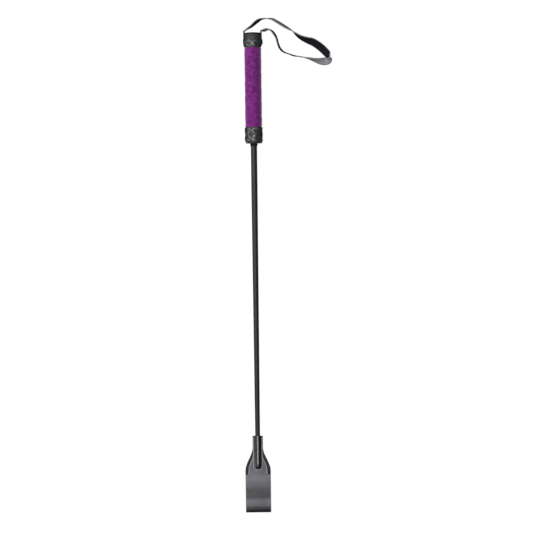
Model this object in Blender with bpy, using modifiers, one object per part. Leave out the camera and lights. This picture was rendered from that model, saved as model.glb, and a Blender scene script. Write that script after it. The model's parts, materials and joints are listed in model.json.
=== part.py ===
"""Riding crop lying on a flat surface, as separate solids.

Units are metres. World axes: +Y runs from the popper to the butt, +X to the right, +Z up.
Every turned piece is drawn on the crop's own axis: a "station" is the distance from the butt's
end face towards the tip, and the empty CROP_AXIS lays that axis down, a little lower at the tip.
"""

import math

import bmesh
import bpy
from mathutils import Vector

MM = 0.001
GAP = 0.3 * MM                      # clearance between pieces that touch on the real object

# Core and butt
CORE_RADIUS = 10.2 * MM             # moulded core under the grip and the caps
PLUG_RADIUS = 5.7 * MM
PLUG_LENGTH = 15.5 * MM
BUTT_DISC_THICKNESS = 1.3 * MM

# Leather caps and suede
SLEEVE_WALL = 0.9 * MM              # leather of both cap sleeves
UPPER_CAP_LENGTH = 18.2 * MM
LOWER_CAP_LENGTH = 21.0 * MM
GRIP_LENGTH = 109.0 * MM            # suede between the two cap sleeves
SUEDE_WALL = 0.7 * MM
WASHER_THICKNESS = 1.3 * MM
COLLAR_LENGTH = 3.2 * MM
COLLAR_WALL = 0.45 * MM

# Knots of flat lace
UPPER_KNOT_START = 8.8 * MM         # from the butt
UPPER_KNOT_THICKNESS = 1.8 * MM     # at its crest, over the strap's ends
UPPER_KNOT_CREST = 2.6 * MM         # from the knot's upper edge
LOWER_KNOT_THICKNESS = 0.6 * MM
KNOT_EDGE = 0.35 * MM               # thickness of a knot at its edges

# Shaft
ROD_RADIUS = 3.1 * MM               # glass fibre, at the grip
ROD_TIP_RADIUS = 2.15 * MM
COVER_WALL = 0.85 * MM              # braided sleeve
COVER_TUCK = 10.4 * MM              # how far the sleeve reaches up inside the lower cap
ROD_LENGTH = 576.3 * MM
THICK_LENGTH = 57.7 * MM            # parallel stretch below the collar's upper edge
THIN_LENGTH = 49.0 * MM             # parallel stretch above the rod's end
TIP_CAP_LENGTH = 2.7 * MM

# Popper
LEAF = 1.4 * MM                     # one layer of the folded leather
RIDGE_WALL = 1.3 * MM               # leather stretched over the rod
NECK_HALF_WIDTH = 7.1 * MM
BLADE_HALF_WIDTH = 17.4 * MM
NECK_OVERLAP = 42.5 * MM            # how far the neck reaches up the shaft from the rod's tip
NECK_STRAIGHT = 15.0 * MM           # the narrow stretch of that
TIP_RUNOUT = 3.6 * MM               # where the ridge falls away beyond the tip
HINGE_BEYOND_TIP = 6.0 * MM
BLADE_LENGTH = 54.8 * MM            # from the bend to the centre of the fold
FOLD_RADIUS = 2.2 * MM

# Seams
SEAM_OFFSET = 6.0 * MM              # from the middle of the neck
SEAM_LENGTH = 34.0 * MM
SEAM_START = 3.0 * MM               # from the neck's upper edge
THREAD_RADIUS = 0.35 * MM

# Wrist strap
STRAP_WIDTH = 11.2 * MM
STRAP_THICKNESS = 1.5 * MM
STRAP_END_THICKNESS = 1.0 * MM      # pressed flat under the knot
STRAP_TUCK = 14.2 * MM              # how far each end runs down from the butt
TACK_RADIUS = 0.6 * MM
TACK_LENGTH = 5.4 * MM
TACK_STATION = 11.4 * MM

SIDES = 32                          # facets round every turned piece
ROD_SIDES = 16

# Radii that follow from those above
SLEEVE_BORE = CORE_RADIUS + GAP
SLEEVE_RADIUS = SLEEVE_BORE + SLEEVE_WALL
SUEDE_RADIUS = SLEEVE_BORE + SUEDE_WALL
STRAP_SEAT = SLEEVE_RADIUS + GAP
STRAP_END_RADIUS = STRAP_SEAT + STRAP_END_THICKNESS
COVER_RADIUS = ROD_RADIUS + GAP + COVER_WALL
COVER_TIP_RADIUS = ROD_TIP_RADIUS + GAP + COVER_WALL
NECK_BORE = COVER_TIP_RADIUS + GAP
RIDGE_RADIUS = NECK_BORE + RIDGE_WALL
UPPER_KNOT_RADIUS = STRAP_SEAT + UPPER_KNOT_THICKNESS
LOWER_KNOT_RADIUS = STRAP_SEAT + LOWER_KNOT_THICKNESS

# Stations that follow from the lengths above
UPPER_CAP_START = BUTT_DISC_THICKNESS + GAP
UPPER_CAP_END = UPPER_CAP_START + UPPER_CAP_LENGTH
GRIP_START = UPPER_CAP_END + GAP
GRIP_END = GRIP_START + GRIP_LENGTH
LOWER_CAP_START = GRIP_END + GAP
LOWER_CAP_END = LOWER_CAP_START + LOWER_CAP_LENGTH
WASHER_START = LOWER_CAP_END + GAP
WASHER_END = WASHER_START + WASHER_THICKNESS
COLLAR_START = WASHER_END + GAP
COVER_START = LOWER_CAP_END - COVER_TUCK
TAPER_START = COLLAR_START + THICK_LENGTH
PLUG_START = UPPER_CAP_START + GAP
ROD_START = PLUG_START + PLUG_LENGTH + GAP     # also the floor of the plug's bore
ROD_END = ROD_START + ROD_LENGTH
TAPER_END = ROD_END - THIN_LENGTH
TIP_CAP_START = ROD_END + GAP
ROD_TIP = TIP_CAP_START + TIP_CAP_LENGTH
NECK_START = ROD_TIP - NECK_OVERLAP
HINGE_STATION = ROD_TIP + HINGE_BEYOND_TIP
NECK_END = HINGE_STATION - LEAF - GAP
SHOULDER_START = NECK_START + NECK_STRAIGHT
LOWER_KNOT_CREST = (LOWER_CAP_START + LOWER_CAP_END) / 2

# How the crop lies: on the crest of the lower knot, the end of the ridge and the popper's fold
TILT = math.asin((LOWER_KNOT_RADIUS - RIDGE_RADIUS) / (ROD_TIP - LOWER_KNOT_CREST))
HINGE_HEIGHT = RIDGE_RADIUS - (HINGE_STATION - ROD_TIP) * math.sin(TILT)
BLADE_TILT = math.asin((HINGE_HEIGHT - FOLD_RADIUS) / BLADE_LENGTH)
BUTT_HEIGHT = RIDGE_RADIUS + ROD_TIP * math.sin(TILT)
BUTT_OVERHANG = SLEEVE_RADIUS * math.sin(TILT)
OVERALL_LENGTH = (BUTT_OVERHANG + HINGE_STATION * math.cos(TILT)
                  + BLADE_LENGTH * math.cos(BLADE_TILT) + FOLD_RADIUS)
BUTT_Y = OVERALL_LENGTH / 2 - BUTT_OVERHANG

# The strap's middle line from the left exit round to the right one, chosen by hand, in millimetres:
# x, distance beyond the butt, height over the surface, and its roll in degrees (0 stands on edge).
# The two exits themselves follow from the cap's size.
STRAP_ROUTE = [
    (-7.3, 5.6, 13.9, -5), (-1.9, 9.0, 12.9, -12),
    (2.9, 13.1, 11.7, -19), (8.0, 16.8, 10.4, -19), (14.0, 19.3, 9.0, -4), (20.8, 19.7, 7.8, 4),
    (27.6, 18.7, 6.9, 16), (34.8, 14.7, 6.1, 21), (42.8, 9.7, 5.8, 21), (50.0, 5.3, 5.8, 14),
    (55.4, 2.0, 5.9, 2), (60.6, -2.4, 5.9, -14), (67.0, -6.8, 5.5, -28), (74.6, -10.1, 4.7, -47),
    (83.2, -13.2, 2.7, -73), (91.9, -18.9, 1.3, -87), (98.6, -25.0, 1.6, -84), (103.6, -30.6, 3.7, -60),
    (106.0, -34.6, 5.9, 0), (104.2, -38.2, 4.2, 58), (99.8, -39.8, 2.6, 75), (93.0, -39.5, 4.1, 52),
    (85.0, -37.8, 5.5, 24), (76.8, -35.4, 5.9, 8), (66.4, -33.3, 5.9, -6), (56.4, -31.6, 5.9, 0),
    (49.6, -29.1, 6.0, -2), (42.4, -26.2, 6.2, -8), (37.4, -20.8, 7.0, -10), (34.8, -14.2, 8.1, -10),
    (32.9, -7.3, 9.4, -13), (30.3, -2.4, 10.5, -16), (26.8, 1.9, 11.5, -14), (22.8, 4.1, 12.5, -2),
    (18.8, 4.0, 13.4, 14), (15.6, 3.2, 14.1, 14),
]
EXIT_LIFT = 0.7 * MM                # the loop starts this far beyond the butt
EXIT_LEAD = 1.6 * MM                # and first runs straight on for this far
STEPS_PER_SPAN = 2                  # points read from the smooth curve between two of those


def clear_scene():
    """Remove whatever the file holds."""
    for obj in list(bpy.data.objects):
        bpy.data.objects.remove(obj, do_unlink=True)


def finish(name, colour, roughness, metallic=0.0):
    """A Principled material."""
    made = bpy.data.materials.new(name)
    made.use_nodes = True
    shader = made.node_tree.nodes["Principled BSDF"]
    shader.inputs["Base Color"].default_value = (*colour, 1.0)
    shader.inputs["Roughness"].default_value = roughness
    shader.inputs["Metallic"].default_value = metallic
    return made


def collection(name):
    """A collection linked to the scene."""
    made = bpy.data.collections.new(name)
    bpy.context.scene.collection.children.link(made)
    return made


def place(obj, parent, station=0.0):
    """Hang an object on the crop's axis, or on another empty, at a station."""
    obj.parent = parent
    obj.location = (0.0, 0.0, -station)
    return obj


def new_object(name, data, material=None):
    """An object in the crop's collection, or in the cutters' when it has no material."""
    obj = bpy.data.objects.new(name, data)
    if material is None:
        CUTTERS.objects.link(obj)
        obj.display_type = "WIRE"
        obj.hide_render = True
    else:
        PARTS.objects.link(obj)
        data.materials.append(material)
    return obj


def turned(name, outline, material=None, sides=SIDES, ring=True):
    """Turn an outline of (radius, station) points round the axis.

    The outline runs from the butt towards the tip on its outer side. A ring's outline closes
    on itself; a solid piece's starts and ends on the axis.
    """
    mesh = bpy.data.meshes.new(name)
    points = [(radius, 0.0, -station) for radius, station in outline]
    edges = [(i, i + 1) for i in range(len(points) - 1)]
    if ring:
        edges.append((len(points) - 1, 0))
    mesh.from_pydata(points, edges, [])
    obj = new_object(name, mesh, material)
    screw = obj.modifiers.new("turn", "SCREW")
    screw.axis = "Z"
    screw.steps = screw.render_steps = sides
    screw.use_merge_vertices = True
    screw.merge_threshold = 0.01 * MM
    return place(obj, CROP_AXIS)


def tube_outline(inner, outer, start, end):
    """Outline of a plain tube."""
    return [(outer, start), (outer, end), (inner, end), (inner, start)]


def rod_outline(radius, start, end):
    """Outline of a plain solid cylinder."""
    return [(0.0, start), (radius, start), (radius, end), (0.0, end)]


def ellipse_arc(centre, semi_axes, first, last, count):
    """Points (radius, station) on an ellipse, from angle first to last in degrees.

    The angle is measured from the direction of growing radius towards the tip.
    """
    points = []
    for i in range(count):
        angle = math.radians(first + (last - first) * i / (count - 1))
        points.append((centre[0] + semi_axes[0] * math.cos(angle),
                       centre[1] + semi_axes[1] * math.sin(angle)))
    return points


def cut(obj, cutter, operation="DIFFERENCE"):
    """Add an exact Boolean to an object."""
    boolean = obj.modifiers.new(cutter.name, "BOOLEAN")
    boolean.operation = operation
    boolean.object = cutter
    boolean.solver = "EXACT"


def block(name, centre, size):
    """A box cutter on the crop's axis; centre is (x, y, station)."""
    mesh = bpy.data.meshes.new(name)
    shape = bmesh.new()
    bmesh.ops.create_cube(shape, size=1.0)
    bmesh.ops.scale(shape, vec=Vector(size), verts=shape.verts)
    bmesh.ops.translate(shape, vec=Vector((centre[0], centre[1], -centre[2])), verts=shape.verts)
    shape.to_mesh(mesh)
    shape.free()
    return place(new_object(name, mesh), CROP_AXIS)


def cylinder(name, radius, length, direction, centre, material=None, sides=12):
    """A cylinder along the crop frame's X or Y, centred at (x, y, station)."""
    mesh = bpy.data.meshes.new(name)
    shape = bmesh.new()
    bmesh.ops.create_cone(shape, cap_ends=True, segments=sides, radius1=radius, radius2=radius,
                          depth=length)
    shape.to_mesh(mesh)
    shape.free()
    obj = place(new_object(name, mesh, material), CROP_AXIS)
    obj.location = (centre[0], centre[1], -centre[2])
    obj.rotation_euler = (0.0, math.pi / 2, 0.0) if direction == "X" else (math.pi / 2, 0.0, 0.0)
    return obj


def ring_piece(name, inner, outer, start, end, half_width, side, material=None):
    """A short arc of a ring on the left (-1) or right (+1) side of the crop."""
    obj = turned(name, tube_outline(inner, outer, start, end), material, sides=2 * SIDES)
    reach = 2 * outer
    keep = block(name + "_keep", (side * reach / 2, 0.0, (start + end) / 2),
                 (reach, 2 * half_width, 2 * (end - start)))
    cut(obj, keep, "INTERSECT")
    return obj


def rod_taper(thick, thin, offset=0.0):
    """The shaft's taper as (radius, station) points."""
    return [(thick + offset, TAPER_START), (thin + offset, TAPER_END)]


def knot_outline(start, end, crest_radius, crest_station):
    """Barrel outline of a knot ring: thin edges and one crest."""
    edge = STRAP_SEAT + KNOT_EDGE
    rise = crest_radius - edge
    upper = ellipse_arc((edge, crest_station), (rise, crest_station - start), -90, 0, 5)
    lower = ellipse_arc((edge, crest_station), (rise, end - crest_station), 0, 90, 7)
    return upper + lower[1:] + [(STRAP_SEAT, end), (STRAP_SEAT, start)]


def build_handle():
    """Core, plug, suede, the two caps and their knots."""
    counterbore = COVER_RADIUS + GAP
    core_outline = [
        (PLUG_RADIUS + GAP, UPPER_CAP_START), (CORE_RADIUS, UPPER_CAP_START),
        (CORE_RADIUS, LOWER_CAP_END), (counterbore, LOWER_CAP_END),
        (counterbore, COVER_START - GAP), (ROD_RADIUS + GAP, COVER_START - GAP),
        (ROD_RADIUS + GAP, ROD_START), (PLUG_RADIUS + GAP, ROD_START),
    ]
    core = turned("grip_core", core_outline, PLASTIC)
    turned("butt_plug", rod_outline(PLUG_RADIUS, PLUG_START, PLUG_START + PLUG_LENGTH), PLASTIC,
           ring=False)
    turned("butt_disc", rod_outline(SLEEVE_RADIUS, 0.0, BUTT_DISC_THICKNESS), LEATHER, ring=False)
    turned("suede_grip", tube_outline(SLEEVE_BORE, SUEDE_RADIUS, GRIP_START, GRIP_END), SUEDE)
    upper_sleeve = turned("upper_cap_sleeve", tube_outline(SLEEVE_BORE, SLEEVE_RADIUS,
                                                           UPPER_CAP_START, UPPER_CAP_END), LEATHER)
    turned("lower_cap_sleeve", tube_outline(SLEEVE_BORE, SLEEVE_RADIUS,
                                            LOWER_CAP_START, LOWER_CAP_END), LEATHER)
    turned("lower_cap_washer", tube_outline(counterbore, SLEEVE_RADIUS, WASHER_START, WASHER_END),
           LEATHER)
    upper_knot = turned("upper_knot", knot_outline(UPPER_KNOT_START, UPPER_CAP_END,
                                                   UPPER_KNOT_RADIUS,
                                                   UPPER_KNOT_START + UPPER_KNOT_CREST), LEATHER)
    turned("lower_knot", knot_outline(LOWER_CAP_START, LOWER_CAP_END, LOWER_KNOT_RADIUS,
                                      LOWER_KNOT_CREST), LEATHER)
    return core, upper_sleeve, upper_knot


def build_strap_ends(core, sleeve, knot):
    """The strap's two ends under the upper knot, and the tack through each."""
    for side, word in ((-1, "left"), (1, "right")):
        end = ring_piece("strap_end_" + word, STRAP_SEAT, STRAP_END_RADIUS, 0.0, STRAP_TUCK,
                         STRAP_WIDTH / 2, side, STRAP_LEATHER)
        pocket = ring_piece("pocket_" + word, STRAP_SEAT - GAP, STRAP_END_RADIUS + GAP, 0.0,
                            STRAP_TUCK + GAP, STRAP_WIDTH / 2 + GAP, side)
        cut(knot, pocket)
        outer = STRAP_END_RADIUS - GAP / 2
        centre = (side * (outer - TACK_LENGTH / 2), 0.0, TACK_STATION)
        cylinder("strap_tack_" + word, TACK_RADIUS, TACK_LENGTH, "X", centre, STEEL)
        hole = cylinder("tack_hole_" + word, TACK_RADIUS + GAP, 2 * (TACK_LENGTH + GAP), "X",
                        (side * outer, 0.0, TACK_STATION))
        for drilled in (end, sleeve, core):
            cut(drilled, hole)


def build_shaft():
    """Glass-fibre rod, its braided cover, the collar at the cap and the cap at the tip."""
    rod = [(0.0, ROD_START), (ROD_RADIUS, ROD_START)] + rod_taper(ROD_RADIUS, ROD_TIP_RADIUS)
    rod += [(ROD_TIP_RADIUS, ROD_END), (0.0, ROD_END)]
    turned("core_rod", rod, FIBREGLASS, sides=ROD_SIDES, ring=False)

    inner = rod_taper(ROD_RADIUS, ROD_TIP_RADIUS, GAP)
    outer = rod_taper(COVER_RADIUS, COVER_TIP_RADIUS)
    cover = [(COVER_RADIUS, COVER_START)] + outer + [(COVER_TIP_RADIUS, ROD_END)]
    cover += [(ROD_TIP_RADIUS + GAP, ROD_END)] + inner[::-1] + [(ROD_RADIUS + GAP, COVER_START)]
    turned("shaft_cover", cover, BRAID, sides=ROD_SIDES)

    bore = COVER_RADIUS + GAP
    turned("shaft_collar", tube_outline(bore, bore + COLLAR_WALL, COLLAR_START,
                                        COLLAR_START + COLLAR_LENGTH), THREAD)
    turned("tip_cap", rod_outline(COVER_TIP_RADIUS, TIP_CAP_START, ROD_TIP), PLASTIC,
           sides=ROD_SIDES, ring=False)


def neck_half_width(station):
    """Half the neck's width: straight, then a shoulder that eases out to the blade's width."""
    along = (station - SHOULDER_START) / (HINGE_STATION - SHOULDER_START)
    ease = (1.0 - math.cos(math.pi * min(1.0, max(0.0, along)))) / 2
    return NECK_HALF_WIDTH + (BLADE_HALF_WIDTH - NECK_HALF_WIDTH) * ease


def ridge_radius(station):
    """Radius of the leather's ridge over the rod, rounded off beyond the tip."""
    if station <= ROD_TIP:
        return RIDGE_RADIUS
    beyond = min(1.0, (station - ROD_TIP) / TIP_RUNOUT)
    return LEAF + (RIDGE_RADIUS - LEAF) * math.sqrt(1.0 - beyond * beyond)


def neck_section(station, columns=25):
    """Closed section across the neck: two flat leaves with a round ridge in the middle."""
    width = neck_half_width(station)
    radius = ridge_radius(station)
    side_columns = (columns - 1) // 4
    flat = [width + (radius - width) * i / side_columns for i in range(side_columns)]
    round_part = [radius * math.cos(math.pi / 2 * i / side_columns) for i in range(side_columns + 1)]
    half = flat + round_part
    across = half + [-x for x in half[-2::-1]]
    height = [max(LEAF, math.sqrt(max(0.0, radius * radius - x * x))) for x in across]
    top = [(x, -h, -station) for x, h in zip(across, height)]
    bottom = [(x, h, -station) for x, h in zip(across[::-1], height[::-1])]
    return top + bottom


def loft(name, sections, material):
    """Join closed sections of equally many points into one capped solid."""
    mesh = bpy.data.meshes.new(name)
    shape = bmesh.new()
    rings = [[shape.verts.new(point) for point in section] for section in sections]
    for near, far in zip(rings, rings[1:]):
        for i in range(len(near)):
            j = (i + 1) % len(near)
            shape.faces.new((near[i], near[j], far[j], far[i]))
    shape.faces.new(rings[0][::-1])
    shape.faces.new(rings[-1])
    bmesh.ops.recalc_face_normals(shape, faces=shape.faces)
    shape.to_mesh(mesh)
    shape.free()
    return place(new_object(name, mesh, material), CROP_AXIS)


def build_popper_neck():
    """The leather round the rod's tip, with its bore, and the thread of its two seams."""
    shoulder_steps, runout_steps = 8, 5
    stations = [NECK_START]
    stations += [SHOULDER_START + (ROD_TIP - SHOULDER_START) * i / shoulder_steps
                 for i in range(shoulder_steps + 1)]
    stations += [ROD_TIP + TIP_RUNOUT * math.sin(math.pi / 2 * i / runout_steps)
                 for i in range(1, runout_steps + 1)]
    stations.append(NECK_END)
    neck = loft("popper_neck", [neck_section(station) for station in stations], POPPER_LEATHER)
    bore = turned("rod_bore", rod_outline(NECK_BORE, NECK_START - LEAF, ROD_TIP + GAP),
                  sides=ROD_SIDES, ring=False)
    cut(neck, bore)

    first = NECK_START + SEAM_START
    last = first + SEAM_LENGTH
    height = LEAF + GAP + THREAD_RADIUS
    for side, word in ((-1, "left"), (1, "right")):
        x = side * SEAM_OFFSET
        corners = [(x, -height, -first), (x, -height, -last), (x, height, -last), (x, height, -first)]
        wire("popper_seam_" + word, corners, THREAD_RADIUS, THREAD)
        for number, station in enumerate((first, last)):
            hole = cylinder(f"stitch_hole_{word}_{number}", THREAD_RADIUS + GAP, 6 * LEAF, "Y",
                            (x, 0.0, station), sides=10)
            cut(neck, hole)


def wire(name, points, radius, material):
    """A closed loop of round thread through the given points of the crop's frame."""
    curve = bpy.data.curves.new(name, "CURVE")
    curve.dimensions = "3D"
    curve.bevel_depth = radius
    curve.bevel_resolution = 1
    spline = curve.splines.new("POLY")
    spline.points.add(len(points) - 1)
    for target, point in zip(spline.points, points):
        target.co = (*point, 1.0)
    spline.use_cyclic_u = True
    return place(new_object(name, curve, material), CROP_AXIS)


def build_popper_blade():
    """The flat blade: two leaves that meet in a fold, hung on the bend's axis."""
    hinge = bpy.data.objects.new("popper_bend", None)
    PARTS.objects.link(hinge)
    place(hinge, CROP_AXIS, HINGE_STATION)
    hinge.rotation_euler = (BLADE_TILT - TILT, 0.0, 0.0)

    lean = math.degrees(math.asin((FOLD_RADIUS - LEAF) / BLADE_LENGTH))
    nose = ellipse_arc((0.0, 0.0), (LEAF, LEAF), -180 + lean, -lean, 9)
    fold = ellipse_arc((0.0, BLADE_LENGTH), (FOLD_RADIUS, FOLD_RADIUS), -lean, 180 + lean, 13)
    curve = bpy.data.curves.new("popper_blade", "CURVE")
    curve.dimensions = "2D"
    curve.fill_mode = "BOTH"
    curve.extrude = BLADE_HALF_WIDTH
    spline = curve.splines.new("POLY")
    outline = nose + fold
    spline.points.add(len(outline) - 1)
    for target, (height, along) in zip(spline.points, outline):
        target.co = (height, -along, 0.0, 1.0)
    spline.use_cyclic_u = True
    blade = place(new_object("popper_blade", curve, POPPER_LEATHER), hinge)
    blade.rotation_euler = (math.pi / 2, 0.0, math.pi / 2)
    return blade


def smooth_route(route):
    """Catmull-Rom curve through the strap's points: rows of x, y, z in metres and roll in radians."""
    points = [Vector((x * MM, BUTT_Y + beyond * MM, z * MM, math.radians(roll)))
              for x, beyond, z, roll in route]
    exit_x = STRAP_SEAT + STRAP_END_THICKNESS / 2
    left, right = ([Vector((side * exit_x, BUTT_Y + beyond, BUTT_HEIGHT, 0.0))
                    for beyond in (EXIT_LIFT, EXIT_LIFT + EXIT_LEAD)] for side in (-1, 1))
    points = left + points + right[::-1]
    rows = [points[0]]              # both leads are straight, so the ends stay square to the butt
    for i in range(1, len(points) - 2):
        before, start, end, after = points[i - 1:i + 3]
        for step in range(STEPS_PER_SPAN):
            t = step / STEPS_PER_SPAN
            rows.append(0.5 * (2 * start + (end - before) * t
                               + (2 * before - 5 * start + 4 * end - after) * t ** 2
                               + (3 * start - before - 3 * end + after) * t ** 3))
    rows += points[-2:]
    return rows


def build_strap():
    """The free loop of the wrist strap: a flat band that stands on edge where its roll is 0."""
    curve = bpy.data.curves.new("wrist_strap", "CURVE")
    curve.dimensions = "3D"
    curve.twist_mode = "Z_UP"
    curve.extrude = (STRAP_WIDTH - STRAP_THICKNESS) / 2
    curve.bevel_depth = STRAP_THICKNESS / 2
    curve.bevel_resolution = 0
    curve.use_fill_caps = True
    rows = smooth_route(STRAP_ROUTE)
    spline = curve.splines.new("POLY")
    spline.points.add(len(rows) - 1)
    for target, row in zip(spline.points, rows):
        target.co = (row[0], row[1], row[2], 1.0)
        target.tilt = row[3]
    return new_object("wrist_strap", curve, STRAP_LEATHER)


clear_scene()
PARTS = collection("riding_crop")
CUTTERS = collection("cutters")

LEATHER = finish("black_leather", (0.045, 0.045, 0.048), 0.5)
STRAP_LEATHER = finish("strap_leather", (0.02, 0.021, 0.024), 0.45)
POPPER_LEATHER = finish("popper_leather", (0.06, 0.06, 0.065), 0.4)
SUEDE = finish("purple_suede", (0.17, 0.025, 0.18), 0.9)
BRAID = finish("braided_thread", (0.03, 0.03, 0.032), 0.55)
THREAD = finish("black_thread", (0.02, 0.02, 0.02), 0.6)
FIBREGLASS = finish("glass_fibre", (0.6, 0.58, 0.45), 0.4)
PLASTIC = finish("black_plastic", (0.03, 0.03, 0.03), 0.5)
STEEL = finish("steel", (0.5, 0.5, 0.5), 0.35, 1.0)

CROP_AXIS = bpy.data.objects.new("crop_axis", None)
PARTS.objects.link(CROP_AXIS)
CROP_AXIS.location = (0.0, BUTT_Y, BUTT_HEIGHT)
CROP_AXIS.rotation_euler = (TILT - math.pi / 2, 0.0, 0.0)

core_piece, sleeve_piece, knot_piece = build_handle()
build_strap_ends(core_piece, sleeve_piece, knot_piece)
build_shaft()
build_popper_neck()
build_popper_blade()
build_strap()
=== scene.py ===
"""Looks of a riding crop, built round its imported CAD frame.

Local sizes are in millimetres on the crop's own axis: across (to the right), height (up from the
axis) and station (from the butt's end face towards the tip). Meshes are in metres.
"""

import json
import logging
import math
from collections.abc import Callable
from dataclasses import dataclass, field
from enum import Enum

import bpy
import numpy as np
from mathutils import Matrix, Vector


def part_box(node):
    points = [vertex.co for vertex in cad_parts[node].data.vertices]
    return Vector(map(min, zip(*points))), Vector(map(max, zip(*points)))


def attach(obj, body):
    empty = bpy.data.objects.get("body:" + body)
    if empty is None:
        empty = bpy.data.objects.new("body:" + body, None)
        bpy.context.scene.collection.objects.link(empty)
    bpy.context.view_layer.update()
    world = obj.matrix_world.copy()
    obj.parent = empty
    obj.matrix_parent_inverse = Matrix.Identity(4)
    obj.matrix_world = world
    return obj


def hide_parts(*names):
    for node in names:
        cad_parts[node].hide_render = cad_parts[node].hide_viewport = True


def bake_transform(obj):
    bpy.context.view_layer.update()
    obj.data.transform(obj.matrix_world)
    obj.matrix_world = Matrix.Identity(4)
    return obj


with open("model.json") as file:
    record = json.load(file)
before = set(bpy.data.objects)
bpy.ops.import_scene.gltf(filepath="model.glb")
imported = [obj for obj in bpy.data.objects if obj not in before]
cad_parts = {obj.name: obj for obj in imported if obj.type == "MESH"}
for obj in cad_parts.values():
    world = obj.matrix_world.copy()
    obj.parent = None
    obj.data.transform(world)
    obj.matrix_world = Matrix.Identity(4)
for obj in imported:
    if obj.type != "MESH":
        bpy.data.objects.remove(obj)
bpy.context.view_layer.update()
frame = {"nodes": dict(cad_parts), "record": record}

MM = 0.001
LOG = logging.getLogger("riding_crop")
UP = np.array([0.0, 0.0, 1.0])
RIGHT = np.array([1.0, 0.0, 0.0])
TURN = 2.0 * math.pi
SHARP_ANGLE = math.radians(50.0)
RIPPLE_PITCH = 14.0
ARC_POINTS = 3


class Body(Enum):
    """The bodies that pieces ride on."""

    CROP = "crop"
    POPPER = "popper"


class Slot(Enum):
    """The record's material slots."""

    CAP = "cap_leather"
    STRAP = "strap_leather"
    POPPER = "popper_leather"
    SUEDE = "purple_suede"
    BRAID = "braided_thread"
    THREAD = "black_thread"
    GLASS_FIBRE = "glass_fibre"
    PLASTIC = "black_plastic"
    STEEL = "steel"


class Coordinates(Enum):
    """What a finish's pattern follows."""

    OBJECT = "Object"
    UV = "UV"


# ---------------------------------------------------------------- meshes


def unit(vectors: np.ndarray) -> np.ndarray:
    """Vectors divided by their length, along the last axis."""
    return vectors / np.maximum(np.linalg.norm(vectors, axis=-1, keepdims=True), 1e-12)


def ease(amount: np.ndarray) -> np.ndarray:
    """Smooth step from 0 to 1: three times the square less twice the cube of the clipped amount."""
    clipped = np.clip(amount, 0.0, 1.0)
    return clipped * clipped * (3.0 - 2.0 * clipped)


def ripple(first: np.ndarray, second: np.ndarray, seed: int, octaves: int = 4) -> np.ndarray:
    """Smooth unevenness in about -1 to 1: a sum of plane sine waves in two coordinates.

    Args:
        first: One coordinate, in millimetres.
        second: The other coordinate, in millimetres.
        seed: Number that fixes the waves' directions and phases.
        octaves: How many waves are added.

    Returns:
        An array of the coordinates' shape.
    """
    draw = np.random.default_rng(seed)
    total = np.zeros(np.broadcast(first, second).shape)
    for number in range(octaves):
        angle, phase = draw.uniform(0.0, TURN, 2)
        pitch = RIPPLE_PITCH / (1.0 + 0.8 * number)
        along = math.cos(angle) * first + math.sin(angle) * second
        total += np.sin(TURN * along / pitch + phase) / (1.0 + number)
    return total / 2.0


def put(name: str, data: bpy.types.ID) -> bpy.types.Object:
    """A new object in the scene.

    Args:
        name: The object's name.
        data: Its mesh, light or camera.

    Returns:
        The object.
    """
    made = bpy.data.objects.new(name, data)
    bpy.context.scene.collection.objects.link(made)
    return made


def corners(table: np.ndarray) -> np.ndarray:
    """The four corners of each quad of a table of numbers."""
    return np.stack([table[:-1, :-1], table[:-1, 1:], table[1:, 1:], table[1:, :-1]],
                    axis=-1).reshape(-1, 4)


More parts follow.
